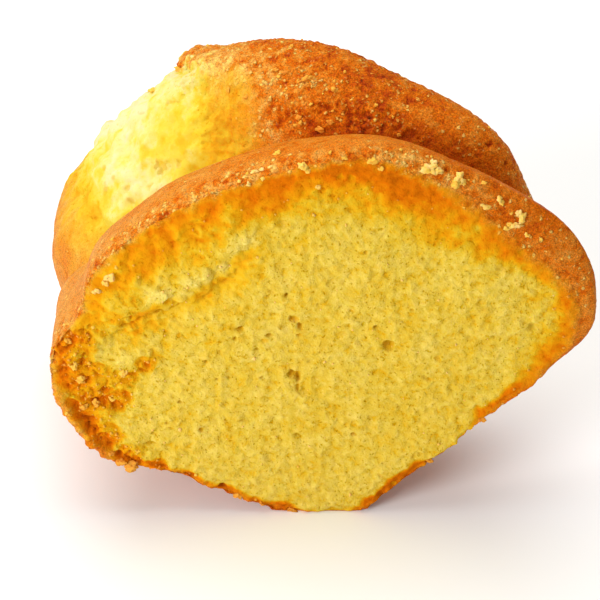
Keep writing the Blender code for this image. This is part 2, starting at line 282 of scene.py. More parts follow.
def layered(points, layers, kind=noise_at):
    """The sum of layers of noise, each with a strength, a size of bump in mm and a seed."""
    return sum(strength * kind(points, size * MM, seed) for strength, size, seed in layers)


def photo_ray(pixel):
    """Where the photo's camera is, and the direction in which it sees a pixel."""
    back = Vector((0.0, -math.cos(CAMERA_ELEVATION), math.sin(CAMERA_ELEVATION)))
    right = Vector((1.0, 0.0, 0.0))
    up = back.cross(right)
    across, down = (2 * value / PHOTO_SIZE - 1 for value in pixel)
    half = CAMERA_SENSOR / 2 / CAMERA_LENS
    ray = (right * across - up * down) * half - back
    return CAMERA_AIM + back * CAMERA_DISTANCE, ray.normalized()


def on_cut_face(pixel):
    """The point of the cut face's plane that the photo shows at a pixel."""
    eye, ray = photo_ray(pixel)
    return eye + ray * ((FRONT_CUT_Y - eye.y) / ray.y)


def linked(name, data):
    """A new object of this name, in the scene."""
    made = bpy.data.objects.new(name, data)
    bpy.context.scene.collection.objects.link(made)
    return made


def tree_of(points):
    """A tree that finds the points near a place."""
    tree = kdtree.KDTree(len(points))
    for i, point in enumerate(points.tolist()):
        tree.insert(point, i)
    tree.balance()
    return tree


def write_value(mesh, name, values):
    """Keeps a value for each of the mesh's points under this name."""
    layer = mesh.attributes.new(name, "FLOAT", "POINT")
    layer.data.foreach_set("value", np.asarray(values, np.float32))


def read_value(mesh, name):
    """The values that the mesh keeps under this name."""
    values = np.zeros(len(mesh.vertices))
    mesh.attributes[name].data.foreach_get("value", values)
    return values


# ---------------------------------------------------------------------------------------------
# The slice's mesh


def fine_copy():
    """A fine, evenly meshed copy of the slice's solid, with its cut edges kept."""
    shape = bmesh.new()
    shape.from_mesh(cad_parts[SOLID].data)
    bmesh.ops.remove_doubles(shape, verts=shape.verts, dist=0.01 * MM)
    crease = shape.edges.layers.float.new("crease_edge")
    for edge in shape.edges:
        if edge.calc_face_angle() > SHARP_ANGLE:
            edge[crease] = 1.0
    mesh = bpy.data.meshes.new("fine")
    shape.to_mesh(mesh)
    shape.free()
    blank = linked("fine", mesh)
    rounding = blank.modifiers.new("rounding", "SUBSURF")
    rounding.levels = rounding.render_levels = 2
    even = blank.modifiers.new("even", "REMESH")
    even.mode = "VOXEL"
    even.voxel_size = FINE_VOXEL
    return baked(blank)


def baked(blank):
    """The blank's mesh with its modifiers applied. The blank itself goes."""
    graph = bpy.context.evaluated_depsgraph_get()
    mesh = bpy.data.meshes.new_from_object(blank.evaluated_get(graph))
    old = blank.data
    bpy.data.objects.remove(blank)
    bpy.data.meshes.remove(old)
    return mesh


def triangles_in(mesh):
    return sum(len(face.vertices) - 2 for face in mesh.polygons)


def thinned(mesh, triangles, weights=None):
    """The mesh with faces merged where they add least, down to this many triangles."""
    blank = linked("thinned", mesh)
    fewer = blank.modifiers.new("fewer", "DECIMATE")
    fewer.ratio = min(1.0, triangles / triangles_in(mesh))
    fewer.use_collapse_triangulate = True
    if weights is not None:
        group = blank.vertex_groups.new(name="thin")
        for i in np.flatnonzero(weights > 0.5).tolist():
            group.add([i], 1.0, "REPLACE")
        fewer.vertex_group = "thin"
        fewer.vertex_group_factor = 1.0
    return baked(blank)


class Surface:
    """The slice's fine mesh as arrays: points, normals, and what each point belongs to."""

    def __init__(self, mesh):
        self.mesh = mesh
        self.points = self.read_vectors("co")
        self.normals = self.read_vectors("normal")
        self.tree = tree_of(self.points)
        self.shell = BVHTree.FromPolygons(self.points.tolist(), [f.vertices for f in mesh.polygons])
        count = len(self.points)
        self.push = np.zeros(count)  # how far each point is pushed out
        self.sunk = np.zeros(count)  # how far pores and hollows sink it
        self.pit = np.zeros(count)  # how deep in a pore it lies, from 0 to 1
        self.hollow_shade_and_browning = np.zeros(count)  # how much a hollow darkens it: painted shade and browning
        self.hollow = np.zeros(count)  # where the face falls in below the lifted ledge
        self.lip = np.zeros(count)  # where the ledge itself is
        self.zone = np.zeros(count)  # how much it belongs to the browned zone under the crust
        self.find_place_in_ring()
        self.find_cuts()
        self.find_crust()

    def read_vectors(self, name):
        values = np.empty(len(self.mesh.vertices) * 3)
        self.mesh.vertices.foreach_get(name, values)
        return values.reshape(-1, 3)

    def find_place_in_ring(self):
        """Each point's depth behind the front cut, and its angle and distance round the hub."""
        x = self.points[:, 0] - SECTION_SHIFT
        y = self.points[:, 1] - FRONT_CUT_Y
        back = y.copy()
        for _ in range(12):
            back = y + (x - DRIFT_PER_M * back) * np.tan(back * TURN_PER_M)
        across = (x - DRIFT_PER_M * back) / np.cos(back * TURN_PER_M) - HUB[0]
        up = self.points[:, 2] - HUB[1]
        self.back = back
        self.angle = (np.degrees(np.arctan2(up, across)) + 90) % 360 - 90
        self.radius = np.hypot(across, up)

    def by_depth(self, low, high):
        """0 at the first depth behind the front cut, in mm, and 1 at the second."""
        return eased(low * MM, high * MM, self.back)

    def by_angle(self, low, high):
        """0 at the first angle round the hub, in degrees, and 1 at the second."""
        return eased(low, high, self.angle)

    def gap_to_rim(self, near):
        """How far inside the cut's rim each point lies, with the rim read off near the cut."""
        bins = np.floor((self.angle[near] + 90) / 2).astype(int) % 180
        rim = np.zeros(180)
        np.maximum.at(rim, bins, self.radius[near])
        middle = np.arange(180) * 2 - 89.0
        return np.interp(self.angle, middle, rim, period=360) - self.radius

    def find_cuts(self):
        """Masks of the front and rear cut faces, with ragged edges where the crust begins."""
        self.front_gap = self.gap_to_rim(self.back < 0.3 * MM)
        self.rear_gap = self.gap_to_rim(self.back > REAR_CUT - 0.3 * MM)
        wander = layered(self.points, EDGE_WANDER)
        facing = eased(0.35, 0.7, -self.normals[:, 1]) * (self.back < 4 * MM)
        bare = read_off(BARE_EDGE, self.angle) * MM
        fade = read_off(RIM_FADE_MM, self.angle) * MM
        self.front = facing * eased(0.0, 1.0, (self.front_gap + wander + bare + 0.2 * MM) / fade)
        rear_turn = REAR_CUT * TURN_PER_M
        rearward = self.normals @ np.array([math.sin(rear_turn), math.cos(rear_turn), 0.0])
        facing = eased(0.5, 0.8, rearward) * (self.back > REAR_CUT - 2 * MM)
        self.rear = facing * eased(0.1 * MM, 0.5 * MM, self.rear_gap + wander)

    def find_crust(self):
        """Masks of the torn patch, of the crust with its parts, and of the crumbled corner."""
        low, high = TEAR_EDGE_ANGLES
        edge = low + (high - low) * eased(*TEAR_EDGE_SPAN, self.back)
        self.past_edge = self.angle - edge + TEAR_RAG * (
            noise_at(self.points, TEAR_RAG_SIZE) + 0.5 * noise_at(self.points, TEAR_RAG_SIZE / 4))
        self.tear_end = 1 - eased(*TEAR_END_ANGLES, self.angle + 6 * noise_at(self.points, 3 * MM, 4.0))
        softness = 1.0 + 4.5 * self.by_depth(31, 24)
        crumbled = 7.0 * noise_at(self.points, 0.9 * MM, 7.0) * self.by_depth(26, 31)
        self.torn = eased(-2, 2, (self.past_edge + crumbled) / softness) * self.tear_end
        self.torn *= eased(*TEAR_FOOT, self.back)
        self.torn *= (1 - self.front) * (1 - self.rear)
        self.crust = (1 - self.front) * (1 - self.rear) * (1 - self.torn)
        behind = self.back + layered(self.points, SCUFF_WANDER)
        self.scuffed = self.crust * eased(4.0 * MM, 0.8 * MM, behind)
        self.scuffed *= 0.45 + 0.55 * self.by_angle(35, 75)
        self.scuffed *= self.by_angle(215, 190) * self.by_angle(0, 25)
        self.coarse = self.crust * self.by_depth(12, 20) * self.by_angle(176, 130)
        self.coarse *= 0.35 + 0.65 * self.by_angle(50, 70)
        self.corner = self.front * self.covered_by(CRUMBLED)

    def covered_by(self, discs):
        """Where soft, ragged discs at the photo's pixels cover the surface."""
        ragged = layered(self.points, CORNER_WANDER)
        cover = np.zeros(len(self.points))
        for pixel, size in discs:
            gap = self.points - np.array(on_cut_face(pixel))
            far = 2 * np.linalg.norm(gap, axis=1) / (size * MM) + ragged
            cover = np.maximum(cover, eased(1.15, 0.75, far))
        return cover

    def stamp(self, centre, size, depth, pit=0.0, browning=0.0, warp=0.45, steep=3):
        """Sinks a hollow into the surface, or, with a depth below 0, raises a bump.

        The size is its width along X and its height along the slope of the surface across X.
        A steeper one has a flatter bottom.
        """
        reach = 0.8 * max(size)
        for spot, i, _ in self.tree.find_range(centre, reach):
            gap = spot - centre
            upward = math.hypot(gap.y, gap.z)
            far = 2 * math.hypot(gap.x / size[0], upward / size[1])
            far += warp * (noise.noise(spot / (0.9 * MM)) + 0.5 * noise.noise(spot / (0.4 * MM)))
            if far >= 1:
                continue
            share = 1 - max(far, 0.0) ** steep
            self.sunk[i] = max(self.sunk[i], share * depth) if depth > 0 else share * depth
            self.pit[i] = max(self.pit[i], pit * min(1.0, 1.5 * share))
            # a browning above 0 darkens the hollow: painted shade with some browning; below 0 it pales a
            # raised spot
            if abs(share * browning) > abs(self.hollow_shade_and_browning[i]):
                self.hollow_shade_and_browning[i] = share * browning

    def shown_at(self, pixel):
        """The surface point that the photo shows at a pixel."""
        spot = self.shell.ray_cast(*photo_ray(pixel))[0]
        if spot is None:
            raise RuntimeError(f"no part of the slice lies at the photo's pixel {pixel}")
        return spot

    def moved(self):
        """The points where the relief moves them, inside the solid's box and on its foot."""
        moved = self.points + self.normals * (self.push - self.sunk)[:, None]
        moved = np.clip(moved, CAD_LOW + 0.02 * MM, CAD_HIGH - 0.02 * MM)
        moved[:, 2] = np.where(self.points[:, 2] < 0.3 * MM, self.points[:, 2], moved[:, 2])
        return moved

    def hidden(self):
        """1 at the points that face away from the photo's camera, and 0 at the others."""
        toward = np.array(photo_ray((PHOTO_SIZE / 2, PHOTO_SIZE / 2))[0]) - self.points
        toward /= np.linalg.norm(toward, axis=1)[:, None]
        return ((self.normals * toward).sum(axis=1) < -0.12).astype(float)


def add_torn_relief(surface):
    """The crust's broken edge, and the swells and lumps of the torn patch."""
    past_edge = surface.past_edge
    step = eased(-0.6, 0.8, past_edge) - eased(-7.0, 7.0, past_edge)
    top = surface.by_depth(26, 32)
    surface.push -= CRUST_STEP * step * top * surface.tear_end * (1 - surface.rear)
    near = eased(22, 2, past_edge)
    lumps = noise_at(surface.points, 0.8 * MM, 9.0) + 0.8 * noise_at(surface.points, 1.5 * MM, 6.0) * near
    swell = layered(surface.points, TORN_SWELL)
    surface.push += surface.torn * (swell + MM * lumps * (0.14 + 0.3 * near))
    lift = read_off(TORN_LIFT_MM, surface.angle) * MM * surface.by_depth(26, 31)
    surface.push += lift * (1 - surface.rear)


def add_crumb_relief(surface):
    """The cut faces' unevenness, with lumps at the upper left and crags in the corner."""
    surface.swell = (surface.front + surface.rear) * layered(surface.points, FACE_SWELL)
    surface.push += surface.swell
    upper_left = surface.front * surface.by_angle(100, 125) * surface.by_angle(192, 172)
    upper_left *= eased(19 * MM, 13 * MM, surface.front_gap)
    surface.lumps = upper_left * layered(surface.points, FACE_LUMPS, billows)
    surface.push += LUMP_HEIGHT * surface.lumps
    surface.crags = layered(surface.points, CORNER_CRAGS, billows)
    surface.push += surface.corner * (CRAG_HEIGHT * surface.crags - CRAG_SINK)


def add_crust_grain(surface, settings):
    """Small bumps over the crust, higher where it is coarse or scuffed."""
    bumps = billows(surface.points, 1.5 * MM, 8.0) + 0.7 * noise_at(surface.points, 0.7 * MM, 3.0)
    coarse = np.maximum(surface.coarse, 1.3 * surface.scuffed)
    surface.push += surface.crust * settings.crust_grain * bumps * (0.4 + 1.4 * coarse)


def round_rims(surface):
    """Rounds the rims of both cuts, unevenly."""
    crumble = layered(surface.points, RIM_CRUMBLE)
    uneven = 1 + crumble * (0.3 + 0.3 * surface.by_angle(30, 80))
    for gap, back in (
        (surface.front_gap, surface.back), (surface.rear_gap, REAR_CUT - surface.back)
    ):
        far = np.hypot(gap, back) / (2.2 * EDGE_ROUNDING)
        surface.push -= EDGE_ROUNDING * uneven * np.exp(-(far ** 1.5))


def add_outline_relief(surface):
    """The flutes' fuller left side, and the ragged lower rim of the front cut."""
    groove_side = surface.by_angle(166, 180) * surface.by_angle(206, 194) * surface.by_depth(8, 13)
    surface.push += SIDE_FULLNESS * groove_side * surface.by_depth(27, 22)
    lower_left = surface.by_angle(186, 196) * surface.by_angle(222, 210)
    at_rim = eased(2.0 * MM, 0.3 * MM, surface.front_gap)
    surface.push += CORNER_FULLNESS * lower_left * at_rim * surface.by_depth(7, 2)
    low = np.maximum(surface.by_angle(2, -10), surface.by_angle(198, 208))
    near_rim = np.exp(-((surface.back / (1.2 * MM)) ** 2)) * eased(2.2 * MM, 0.8 * MM, surface.front_gap)
    surface.push += RAG_HEIGHT * layered(surface.points, RIM_RAGS) * low * near_rim


def add_ledge(surface):
    """Lifts the crumb along the ledge of the cut face and smooths the hollow just below it."""
    line = [on_cut_face(pixel) for pixel in LEDGE]
    picked = np.flatnonzero(surface.front > 0.1)
    points = surface.points[picked]
    sway = layered(points, LEDGE_SWAY)
    nearest = np.full(len(points), np.inf)
    above = np.zeros(len(points))
    for start, end in zip(line, line[1:]):
        run = np.array([end.x - start.x, end.z - start.z])
        gap = points[:, [0, 2]] - np.array([start.x, start.z])
        share = np.clip(gap @ run / (run @ run), 0, 1)
        away = gap - share[:, None] * run
        far = np.hypot(away[:, 0], away[:, 1])
        side = np.sign(run[0] * away[:, 1] - run[1] * away[:, 0])
        closer = far < nearest
        above[closer] = (side * far)[closer]
        nearest[closer] = far[closer]
    past_left = eased(0, 4 * MM, points[:, 0] - line[0].x)
    ends = past_left * eased(0, 3 * MM, line[-1].x - points[:, 0] + 3 * MM)
    over = eased(-0.2 * MM, 0.5 * MM, above + sway) * eased(6 * MM, 1.5 * MM, above) * ends
    below = eased(0.3 * MM, -0.5 * MM, above + sway)
    surface.hollow[picked] = below * eased(-7.0 * MM, -1.8 * MM, above + 0.8 * sway) * ends
    surface.lip[picked] = over
    surface.push += LEDGE_HEIGHT * surface.lip + HOLLOW_FILL * surface.hollow


def add_pores(surface, settings):
    """Sinks the photo's pores and hollows and a random scatter of small pores."""
    for pixel, width, height, depth in MAIN_PORES:
        surface.stamp(surface.shown_at(pixel), (width * MM, height * MM), 0.85 * depth * MM, pit=1.0)
    for pixel, width, height, depth in TORN_PITS:
        size = (width * MM, height * MM)
        surface.stamp(surface.shown_at(pixel), size, 0.6 * depth * MM, pit=0.4, warp=0.9)
    for pixel, width, height, depth, browning in BROWN_SPOTS:
        surface.stamp(
            surface.shown_at(pixel), (1.35 * width * MM, 1.35 * height * MM), 0.8 * depth * MM,
            browning=0.45 * browning, warp=1.1, steep=1.2,
        )
    draw = random.Random(PORES_SEED)
    crumb = np.flatnonzero(surface.front + surface.rear > 0.6).tolist()
    for _ in range(settings.small_pores):
        centre = Vector(surface.points[draw.choice(crumb)])
        width = (0.5 + 0.9 * draw.random() ** 3) * MM
        size = (width * draw.uniform(0.8, 1.5), width * draw.uniform(0.7, 1.2))
        surface.stamp(centre, size, 0.3 * width, pit=draw.uniform(0.1, 0.6), warp=0.7, steep=2)


def crumb_browning_and_shade(surface, patchy, ragged):
    """The cut faces' browning: pale, and golden in the zone under the crust, which it marks; with painted
    light and shade that follow the relief.
    """
    bake = 0.2 + 0.045 * patchy
    low = np.maximum(surface.by_angle(-5, -20), surface.by_angle(208, 220))
    for face, gap in ((surface.front, surface.front_gap), (surface.rear, surface.rear_gap)):
        thick = read_off(UNDER_CRUST_MM, surface.angle) * MM * (1 + 0.5 * patchy + 0.3 * ragged)
        share = np.clip(gap / np.maximum(thick, 0.2 * MM), 0, None)
        zone = np.exp(-(np.abs(share - 0.2) ** 2) * 1.3)
        zone += (eased(1.4, 0.8, share + 0.3 * ragged) - zone) * low
        surface.zone += face * zone
        bake = bake + face * zone * read_off(UNDER_CRUST_BROWNING, surface.angle)
    # browner in the crumbled corner, darker in its crag hollows and paler on the crags, and paler on the
    # upper left's lumps and darker between them: painted light and shade
    bake = bake + surface.corner * (0.19 - 0.08 * surface.crags) - 0.22 * surface.lumps
    # paler where the cut face swells out and darker where it dips: painted light and shade
    bake = bake - 0.06 * surface.swell / MM
    upper = surface.by_angle(25, 65) * surface.by_angle(200, 150)
    return bake + 0.11 * surface.front * upper * eased(13 * MM, 5 * MM, surface.front_gap)


def crust_browning_and_shade(surface, patchy, ragged):
    """The crust's browning: each flute's own, paler where it is scuffed or near the tear, and with painted
    shade next to the groove.
    """
    rearward = eased(0.3, 0.6, (surface.back - FRONT_CREST) / FLUTE_PITCH)
    rear = read_off(REAR_BROWNING, surface.angle)
    # darker on the rear flute next to the groove between the flutes: painted shade
    rear += 0.1 * surface.by_depth(23, 18) * surface.by_angle(150, 105)
    rear -= 0.05 * surface.by_depth(24, 30) * surface.by_angle(100, 60)
    crust = read_off(FRONT_BROWNING, surface.angle) * (1 - rearward) + rear * rearward
    crust += 0.08 * patchy
    crust += (0.35 + 0.18 * ragged - crust) * surface.scuffed
    near_tear = eased(-30, -2, surface.past_edge + 6 * ragged) * surface.tear_end * rearward
    return crust - 0.2 * near_tear * (1 - 0.8 * surface.by_depth(31, 36))


def torn_browning(surface, patchy, ragged):
    """The torn patch's browning: pale, with golden stains, and deeper towards its edges."""
    near_edge = eased(13.0, -4.0, surface.past_edge + 2.5 * ragged)
    low_edge = surface.by_depth(31, 24) * eased(22.0, -4.0, surface.past_edge + 3 * ragged)
    golden = eased(0.1, 0.5, layered(surface.points, GOLDEN_STAINS))
    middle = surface.by_depth(28, 21) * surface.by_angle(148, 132)
    pale = surface.by_angle(132, 142) * surface.by_angle(160, 150)
    torn = 0.01 + 0.1 * surface.by_depth(36, 26) + 0.1 * middle - 0.05 * pale + 0.08 * golden
    torn += 0.03 * surface.by_angle(148, 168) + 0.06 * near_edge + 0.18 * low_edge
    return torn + 0.36 * surface.by_angle(160, 188) + 0.07 * patchy


def find_browning_and_shade(surface):
    """How browned each point is, from 0 for pale crumb to 1 for the darkest crust, with painted light and
    shade added in.
    """
    patchy = layered(surface.points, BROWN_PATCHES)
    ragged = layered(surface.points, BROWN_RAGS)
    bake = crumb_browning_and_shade(surface, patchy, ragged) * (1 - surface.crust)
    bake = bake + crust_browning_and_shade(surface, patchy, ragged) * surface.crust
    bake = bake * (1 - surface.torn) + torn_browning(surface, patchy, ragged) * surface.torn
    # darker in the hollow under the ledge and paler on its lip, painted shade and light; the stamped hollows
    # add painted shade with browning
    bake = bake + 0.13 * surface.hollow - 0.05 * surface.lip + surface.hollow_shade_and_browning
    return np.clip(bake, 0, 1)


def finish_values(surface):
    """What the material and the scattered crumbs read at each point."""
    bake = find_browning_and_shade(surface)
    smooth = surface.torn * eased(0, 24, surface.past_edge) * surface.by_angle(178, 156)
    loose = 0.01 * surface.coarse + 0.14 * surface.corner + 0.008 * surface.front
    return {
        "bake": bake,
        "crust": surface.crust,
        "pit": surface.pit,
        "torn": surface.torn,
        "smooth": np.maximum(smooth, 0.8 * surface.hollow + 0.6 * surface.zone),
        "coarse": np.maximum(surface.coarse, surface.scuffed),
        "loose": loose + 0.04 * surface.scuffed,
    }


def make_cake_mesh(settings):
    """The slice's mesh: the solid's form with all its relief, and the values of its finish."""
    surface = Surface(fine_copy())
    add_torn_relief(surface)
    add_crumb_relief(surface)
    add_crust_grain(surface, settings)
    round_rims(surface)
    add_outline_relief(surface)
    add_ledge(surface)
    add_pores(surface, settings)
    moved = surface.moved()
    surface.mesh.vertices.foreach_set("co", moved.astype(np.float32).ravel())
    surface.mesh.update()
    hidden = surface.hidden()
    shown_triangles = triangles_in(surface.mesh) * (1 - hidden.mean())
    mesh = thinned(surface.mesh, shown_triangles + HIDDEN_TRIANGLES, hidden)
    mesh = thinned(mesh, CAKE_TRIANGLES)
    tree = tree_of(moved)
    nearest = np.array([tree.find(corner.co)[1] for corner in mesh.vertices])
    for name, value in finish_values(surface).items():
        write_value(mesh, name, value[nearest])
    mesh.shade_smooth()
    mesh.name = "cake"
    return mesh


# ---------------------------------------------------------------------------------------------
# Crumbs


def seen_near(shell, pixel):
    """The point and normal that the photo shows at a pixel, or just inside the outline from it."""
    middle = PHOTO_SIZE / 2
    for inward in range(16):
        share = inward / math.dist(pixel, (middle, middle))
        moved = [value + (middle - value) * share for value in pixel]
        spot, normal, _, _ = shell.ray_cast(*photo_ray(moved))
        if spot is not None:
            return spot, normal
    raise RuntimeError(f"the slice isn't seen near the photo's pixel {pixel}")


def ball(rings):
    """The points and faces of a ball of diameter 1."""
    shape = bmesh.new()
    bmesh.ops.create_uvsphere(shape, u_segments=2 * rings, v_segments=rings, radius=0.5)
    points = np.array([corner.co[:] for corner in shape.verts])
    faces = [[corner.index for corner in face.verts] for face in shape.faces]
    shape.free()
    return points, faces


def crumb_places(cake, settings, draw):
    """The crumbs to make: each one's ball, point, normal, width, height and browning."""
    shell = BVHTree.FromPolygons(
        [corner.co for corner in cake.vertices], [face.vertices for face in cake.polygons])
    large, small = ball(12), ball(4)
    places = []
    for pixel, width, height, browning in CLINGING_CRUMBS:
        places.append((large, *seen_near(shell, pixel), width * MM, height * MM, browning))
    bake, loose = read_value(cake, "bake"), read_value(cake, "loose")
    for i in draw.choices(range(len(loose)), weights=loose.tolist(), k=settings.crumbs):
        corner = cake.vertices[i]
        width = (0.25 + 0.4 * draw.random() ** 3) * MM
        browning = max(bake[i] - draw.uniform(0.05, 0.2), 0.12)
        places.append((small, corner.co.copy(), corner.normal.copy(), width, width, browning))
    return places


def crumb_body(points, spot, normal, width, height, draw):
    """A ball's points made lumpy and uneven, and laid on the slice at this point."""
    across = Vector((1.0, 0.0, 0.0)) - normal * normal.x
    across.normalize()
    axes = np.array((across, normal.cross(across), normal))
    seed = draw.uniform(0, 50)
    bumps = 1 + 0.9 * noise_at(points, 0.45, seed) + 0.6 * noise_at(points, 0.2, seed + 7)
    turned = points * bumps[:, None] @ np.array(Matrix.Rotation(draw.uniform(-0.6, 0.6), 3, "Z"))
    body = turned * np.array((width, height, 0.75 * min(width, height))) @ axes
    body += np.array(spot + normal * (0.1 * min(width, height)))
    return np.clip(body, CAD_LOW, CAD_HIGH)


def make_crumbs_mesh(cake, settings):
    """Crumbs that cling to the slice: the photo's own, and a random scatter of small ones."""
    draw = random.Random(CRUMBS_SEED)
    bodies, sides, brownings = [], [], []
    for (points, faces), *place, browning in crumb_places(cake, settings, draw):
        first = len(brownings)
        sides += [[first + k for k in face] for face in faces]
        brownings += [browning] * len(points)
        bodies.append(crumb_body(points, *place, draw))
    mesh = bpy.data.meshes.new("crumbs")
    mesh.from_pydata(np.concatenate(bodies).tolist(), [], sides)
    write_value(mesh, "bake", brownings)
    mesh.shade_smooth()
    return mesh


# ---------------------------------------------------------------------------------------------
# Materials

# Colours by browning, as linear values
CRUMB_STOPS = (
    (0.00, (0.94, 0.78, 0.21)),
    (0.10, (0.84, 0.635, 0.125)),
    (0.20, (0.765, 0.535, 0.060)),
    (0.30, (0.745, 0.445, 0.016)),
    (0.40, (0.77, 0.345, 0.005)),
    (0.62, (0.70, 0.172, 0.002)),
    (0.82, (0.38, 0.075, 0.002)),
)
TORN_STOPS = (
    (0.00, (0.72, 0.61, 0.31)),
    (0.08, (0.71, 0.61, 0.19)),
    (0.16, (0.70, 0.545, 0.065)),
    (0.24, (0.70, 0.47, 0.025)),
    (0.38, (0.69, 0.32, 0.010)),
    (0.55, (0.68, 0.21, 0.006)),
    (0.80, (0.48, 0.11, 0.003)),
)
CRUST_STOPS = (
    (0.05, (0.86, 0.52, 0.12)),
    (0.20, (0.70, 0.325, 0.058)),
    (0.35, (0.65, 0.215, 0.018)),
    (0.50, (0.60, 0.132, 0.001)),
    (0.64, (0.485, 0.080, 0.001)),
    (0.80, (0.34, 0.034, 0.001)),
    (0.95, (0.14, 0.02, 0.001)),
)
LOOSE_STOPS = (
    (0.00, (0.93, 0.64, 0.25)),
    (0.20, (0.90, 0.51, 0.060)),
    (0.45, (0.76, 0.28, 0.02)),
    (0.70, (0.54, 0.12, 0.006)),
)
GRAIN_AND_GLINT_COLOUR = (0.92, 0.48, 0.15, 1.0)  # of the crust's bright grains, which also stand for glints: painted highlights
PORE_SHADE = (0.84, 0.70, 0.12, 1.0)  # painted shade: multiplies the crumb's colour in its small pores
PIT_COLOUR = (0.74, 0.40, 0.004, 1.0)  # of the larger pores, with painted shade

# Sizes of the patterns in crumb and crust
CRUMB_GRAIN, CRUST_GRAIN, LOOSE_GRAIN = 0.34 * MM, 0.5 * MM, 0.3 * MM
GRIT_SIZE, PORE_SIZE = 0.38 * MM, 0.55 * MM
FLECK_SIZE, SPECK_SIZE, POWDER_SIZE = 0.8 * MM, 0.45 * MM, 0.24 * MM
BLOTCH_SIZE, CLUSTER_SIZE = 2.4 * MM, 3.2 * MM
BUMP_DEPTH, LOOSE_BUMP_DEPTH = 0.36 * MM, 0.1 * MM
LIGHT_REACH = 0.9 * MM  # how far light soaks into the crumb


def feed(tree, socket, value):
    """Links a socket to another node's, or sets it to a plain value."""
    if isinstance(value, bpy.types.NodeSocket):
        tree.links.new(value, socket)
    else:
        socket.default_value = value


def put(tree, kind, **settings):
    """Adds a node, sets its properties and feeds its sockets."""
    made = tree.nodes.new(kind)
    for name, value in settings.items():
        if hasattr(made, name):
            setattr(made, name, value)
        else:
            feed(tree, made.inputs[name.replace("_", " ")], value)
    return made


def maths(tree, kind, a, b=0.0, c=0.0):
    """A Math node's value."""
    made = put(tree, "ShaderNodeMath", operation=kind)
    for socket, value in zip(made.inputs, (a, b, c)):
        feed(tree, socket, value)
    return made.outputs[0]


def ramp(tree, value, stops):
    """A colour that runs through the stops, each a place from 0 to 1 and a colour."""
    made = put(tree, "ShaderNodeValToRGB", Fac=value)
    line = made.color_ramp
    line.elements.remove(line.elements[1])
    line.elements[0].position = stops[0][0]
    line.elements[0].color = (*stops[0][1], 1.0)
    for place, colour in stops[1:]:
        line.elements.new(place).color = (*colour, 1.0)
    return made.outputs[0]


def mixed(tree, share, a, b, kind="MIX"):
    """The mix of two colours."""
    made = put(tree, "ShaderNodeMix", data_type="RGBA", blend_type=kind)
    for i, value in ((0, share), (6, a), (7, b)):
        feed(tree, made.inputs[i], value)
    return made.outputs[2]


def mixed_values(tree, share, a, b):
    """The mix of two plain values."""
    made = put(tree, "ShaderNodeMix", data_type="FLOAT")
    for i, value in ((0, share), (2, a), (3, b)):
        feed(tree, made.inputs[i], value)
    return made.outputs[0]


def speckle(tree, place, size, detail=2.0):
    """Noise with specks of this size, from 0 to 1."""
    return put(tree, "ShaderNodeTexNoise", Vector=place, Scale=1 / size, Detail=detail).outputs[0]


def softened(tree, value, low, high):
    """0 at low, 1 at high and a smooth step between."""
    made = put(tree, "ShaderNodeMapRange", interpolation_type="SMOOTHSTEP", Value=value)
    feed(tree, made.inputs["From Min"], low)
    feed(tree, made.inputs["From Max"], high)
    return made.outputs["Result"]


def new_material(name):
    material = bpy.data.materials.new(name)
    material.use_nodes = True
    return material, material.node_tree, material.node_tree.nodes["Principled BSDF"]


def object_place(tree):
    return tree.nodes.new("ShaderNodeTexCoord").outputs["Object"]


def shared_group(name, make):
    """The node group of this name, made once and then shared."""
    return bpy.data.node_groups.get(name) or make(name)


def new_group(name, inputs, outputs):
    """An empty node group with these number sockets, and its two end nodes."""
    tree = bpy.data.node_groups.new(name, "ShaderNodeTree")
    for socket in inputs:
        tree.interface.new_socket(socket, in_out="INPUT", socket_type="NodeSocketFloat")
    for socket in outputs:
        tree.interface.new_socket(socket, in_out="OUTPUT", socket_type="NodeSocketFloat")
    return tree, tree.nodes.new("NodeGroupInput").outputs, tree.nodes.new("NodeGroupOutput").inputs


def grain_group(name):
    """Makes the group that gives fine grain: a tone round 0, browner above it, and a height; the tone is
    browner where the height is low, which is painted shade in the grain's low parts and pits.
    """
    tree, given, result = new_group(name, ("Size", "Pits"), ("Tone", "Height"))
    place = object_place(tree)
    rate = maths(tree, "DIVIDE", 1.0, given["Size"])
    fine = put(tree, "ShaderNodeTexNoise", Vector=place, Scale=rate, Detail=4.0, Roughness=0.7)
    lump_rate = maths(tree, "MULTIPLY", rate, 0.33)
    lumps = put(tree, "ShaderNodeTexNoise", Vector=place, Scale=lump_rate, Detail=2.0).outputs[0]
    pits = maths(tree, "MULTIPLY", softened(tree, lumps, 0.42, 0.28), given["Pits"])
    height = maths(tree, "MULTIPLY_ADD", lumps, 1.1, fine.outputs[0])
    # painted shade: the lower the grain, the browner its tone, and browner still in the pits
    tone = maths(tree, "MULTIPLY_ADD", height, -2.0, 2.1)
    tree.links.new(maths(tree, "ADD", pits, tone), result["Tone"])
    tree.links.new(maths(tree, "MULTIPLY_ADD", pits, -0.4, height), result["Height"])
    return tree


